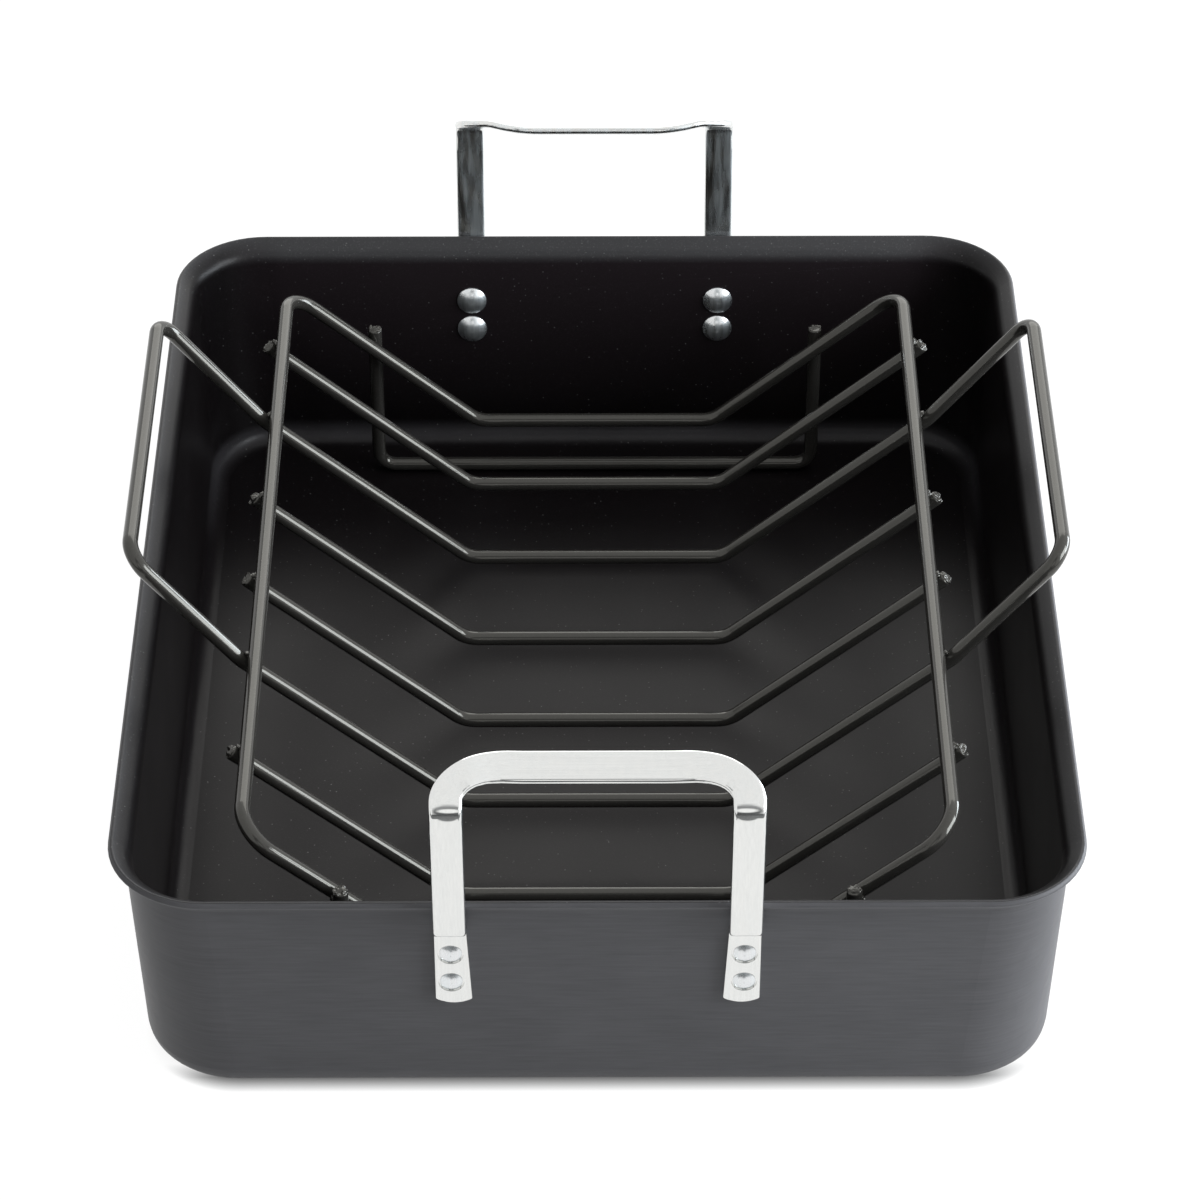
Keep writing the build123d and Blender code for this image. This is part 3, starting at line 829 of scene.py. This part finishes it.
class ROASTER_OT_build_studio(bpy.types.Operator):
    """Adds the floor, the lamps and the camera"""

    bl_idname = "roaster.build_studio"
    bl_label = "Build the studio"

    def execute(self, context):
        studio = context.scene.roaster_studio
        context.scene.view_settings.view_transform = "Standard"
        self.room(context.scene, studio)
        self.floor(studio)
        middle = Vector(VIEW_MIDDLE)
        for name, *settings in LAMPS:
            self.lamp(name, middle, *settings)
        self.flag(middle)
        self.camera(context.scene, studio)
        return {"FINISHED"}

    def room(self, scene, studio):
        """An even white surrounding that the eye and every reflection see as plain white."""
        world = bpy.data.worlds.new("white_room")
        scene.world = world
        made = Shading(world)
        seen = made.seen(made.node("ShaderNodeLightPath"))
        strength = made.math(
            "ADD", studio.room_light, made.math("MULTIPLY", seen, 1.0 - studio.room_light)
        )
        light = made.node("ShaderNodeBackground", {"Color": (1, 1, 1, 1), "Strength": strength})
        made.finish(light.outputs[0], "ShaderNodeOutputWorld")

    def floor(self, studio):
        """A pale floor that shows white, with a shadow where the pan stands."""
        material = bpy.data.materials.new("pale_floor")
        made = Shading(material)
        path = made.node("ShaderNodeLightPath")
        seen = made.seen(path)
        contact = made.node(
            "ShaderNodeAmbientOcclusion", {"Distance": studio.contact_reach}, samples=SHADOW_SAMPLES
        ).outputs["AO"]
        lit = made.node("ShaderNodeBsdfDiffuse", {"Color": (*studio.floor_colour, 1)})
        spot = made.position(made.node("ShaderNodeTexCoord").outputs["Object"])
        shadow = made.math(
            "MULTIPLY",
            made.math("SUBTRACT", 1.0, contact),
            made.span(spot["Y"], *SHADOW_FADE, 1.0, SHADOW_BEHIND),
        )
        beside = made.math("SUBTRACT", made.math("ABSOLUTE", spot["X"]), POST_PLACE)
        square = made.math("MINIMUM", made.math("MULTIPLY", beside, beside), PATCH_BEND_LIMIT)
        front = made.math("ADD", spot["Y"], made.math("MULTIPLY", square, PATCH_BEND))
        dim = made.math(
            "MULTIPLY",
            path.outputs["Is Glossy Ray"],
            made.span(front, *PATCH_FADE, PATCH_DARKNESS, 0.0),
        )
        strength = made.math(
            "MULTIPLY", made.math("SUBTRACT", 1.0, shadow), made.math("SUBTRACT", FLOOR_WHITE, dim)
        )
        white = made.node("ShaderNodeEmission", {"Color": (1, 1, 1, 1), "Strength": strength})
        share = made.math("MULTIPLY", seen, FLOOR_WHITE_SHARE)
        shader = made.node("ShaderNodeMixShader", {0: share, 1: lit.outputs[0], 2: white.outputs[0]})
        made.finish(shader.outputs[0])

        shape = bmesh.new()
        bmesh.ops.create_grid(shape, x_segments=1, y_segments=1, size=studio.floor_size / 2)
        floor = new_piece("floor", shape, material)

    def lamp(self, name, middle, turn, rise, distance, size, brightness, colour, mirrored):
        """A soft panel seen from the middle at a turn from the back and a rise above the floor."""
        azimuth = math.radians(turn)
        elevation = math.radians(rise)
        toward = Vector(
            (
                math.sin(azimuth) * math.cos(elevation),
                math.cos(azimuth) * math.cos(elevation),
                math.sin(elevation),
            )
        )
        data = bpy.data.lights.new(name, "AREA")
        data.shape = "RECTANGLE"
        data.size, data.size_y = size
        data.energy = brightness * math.pi * size[0] * size[1]
        data.color = colour
        panel = bpy.data.objects.new(name, data)
        panel.location = middle + toward * distance
        panel.rotation_euler = (-toward).to_track_quat("-Z", "Y").to_euler()
        panel.visible_camera = False
        panel.visible_glossy = mirrored
        bpy.context.scene.collection.objects.link(panel)

    def flag(self, middle):
        """A dark screen behind the camera, which only reflections see, so that metal shows its bends."""
        material = bpy.data.materials.new("black_screen")
        made = Shading(material)
        place = made.node("ShaderNodeTexCoord").outputs["Object"]
        spot = middle + SCREEN_DISTANCE * Vector((0, -math.cos(SPOT_RISE), math.sin(SPOT_RISE)))
        offset = made.node("ShaderNodeVectorMath", {0: place, 1: spot}, operation="SUBTRACT").outputs[0]
        height = made.position(place)["Z"]
        shade = made.math(
            "ADD",
            made.span(height, *LOW_SHADE_HEIGHTS, *LOW_SHADES),
            made.span(height, *HIGH_SHADE_HEIGHTS, *HIGH_SHADES),
        )
        beside = made.math(
            "MULTIPLY",
            made.span(self.away(made, offset, BESIDE_REACH), *BESIDE_EDGE),
            made.span(height, *BESIDE_HEIGHTS),
        )
        shade = made.blend(beside, shade, 1.0, "FLOAT")
        outside_spot = made.span(self.away(made, offset, SPOT_REACH), *SPOT_EDGE)
        glow = made.node(
            "ShaderNodeEmission",
            {"Color": (1, 1, 1, 1), "Strength": made.blend(outside_spot, SPOT_STRENGTH, shade, "FLOAT")},
        )
        made.finish(glow.outputs[0])

        shape = bmesh.new()
        bmesh.ops.create_grid(shape, x_segments=1, y_segments=1, size=1.0)
        bmesh.ops.scale(shape, vec=SCREEN_SIDES, verts=shape.verts)
        toward = Vector((0, -math.cos(SCREEN_RISE), math.sin(SCREEN_RISE)))
        turn = (-toward).to_track_quat("-Z", "Y").to_matrix().to_4x4()
        place = Matrix.Translation(middle + toward * SCREEN_DISTANCE) @ turn
        bmesh.ops.transform(shape, matrix=place, verts=shape.verts)
        screen = new_piece("screen", shape, material)
        screen.visible_camera = False
        screen.visible_diffuse = False
        screen.visible_shadow = False

    def away(self, made, offset, reach):
        """How far an offset is from its middle, as a share of the reach along each axis."""
        return made.node(
            "ShaderNodeVectorMath", {0: made.stretch(offset, reach)}, operation="LENGTH"
        ).outputs["Value"]

    def camera(self, scene, studio):
        """The camera, at the height and distance of a table-top view."""
        data = bpy.data.cameras.new("camera")
        data.lens = studio.lens
        data.sensor_width = SENSOR_WIDTH
        data.clip_start = CLIP_START
        data.clip_end = CLIP_END
        camera = bpy.data.objects.new("camera", data)
        camera.location = studio.camera_place
        camera.rotation_euler = (math.pi / 2 - studio.camera_pitch, 0.0, -studio.camera_turn)
        scene.collection.objects.link(camera)
        scene.camera = camera


class ROASTER_PT_panel(bpy.types.Panel):
    """Sizes, finishes and steps of the roasting pan"""

    bl_idname = "ROASTER_PT_panel"
    bl_label = "Roasting pan"
    bl_space_type = "VIEW_3D"
    bl_region_type = "UI"
    bl_category = "Roasting pan"

    def draw(self, context):
        scene = context.scene
        for title, settings in (
            ("Pan", scene.roaster_pan),
            ("Steel", scene.roaster_steel),
            ("Wire", scene.roaster_wire),
            ("Studio", scene.roaster_studio),
        ):
            box = self.layout.box()
            box.label(text=title)
            for name in settings.__annotations__:
                box.prop(settings, name)
        for step in STEPS:
            self.layout.operator(step.bl_idname)


SETTINGS = (PanFinish, SteelFinish, WireFinish, StudioSetup)
STEPS = (
    ROASTER_OT_finish_pan,
    ROASTER_OT_finish_handles,
    ROASTER_OT_finish_rivets,
    ROASTER_OT_finish_rack,
    ROASTER_OT_add_welds,
    ROASTER_OT_build_studio,
)


def register():
    """Registers the settings, the steps and the panel."""
    for kind in (*SETTINGS, *STEPS, ROASTER_PT_panel):
        bpy.utils.register_class(kind)
    bpy.types.Scene.roaster_pan = bpy.props.PointerProperty(type=PanFinish)
    bpy.types.Scene.roaster_steel = bpy.props.PointerProperty(type=SteelFinish)
    bpy.types.Scene.roaster_wire = bpy.props.PointerProperty(type=WireFinish)
    bpy.types.Scene.roaster_studio = bpy.props.PointerProperty(type=StudioSetup)


def unregister():
    """Takes the settings, the steps and the panel away again."""
    for name in ("roaster_pan", "roaster_steel", "roaster_wire", "roaster_studio"):
        delattr(bpy.types.Scene, name)
    for kind in reversed((*SETTINGS, *STEPS, ROASTER_PT_panel)):
        bpy.utils.unregister_class(kind)


def main():
    """Runs the steps in order."""
    register()
    bpy.ops.roaster.finish_pan()
    bpy.ops.roaster.finish_handles()
    bpy.ops.roaster.finish_rivets()
    bpy.ops.roaster.finish_rack()
    bpy.ops.roaster.add_welds()
    bpy.ops.roaster.build_studio()


if __name__ == "__main__":
    main()
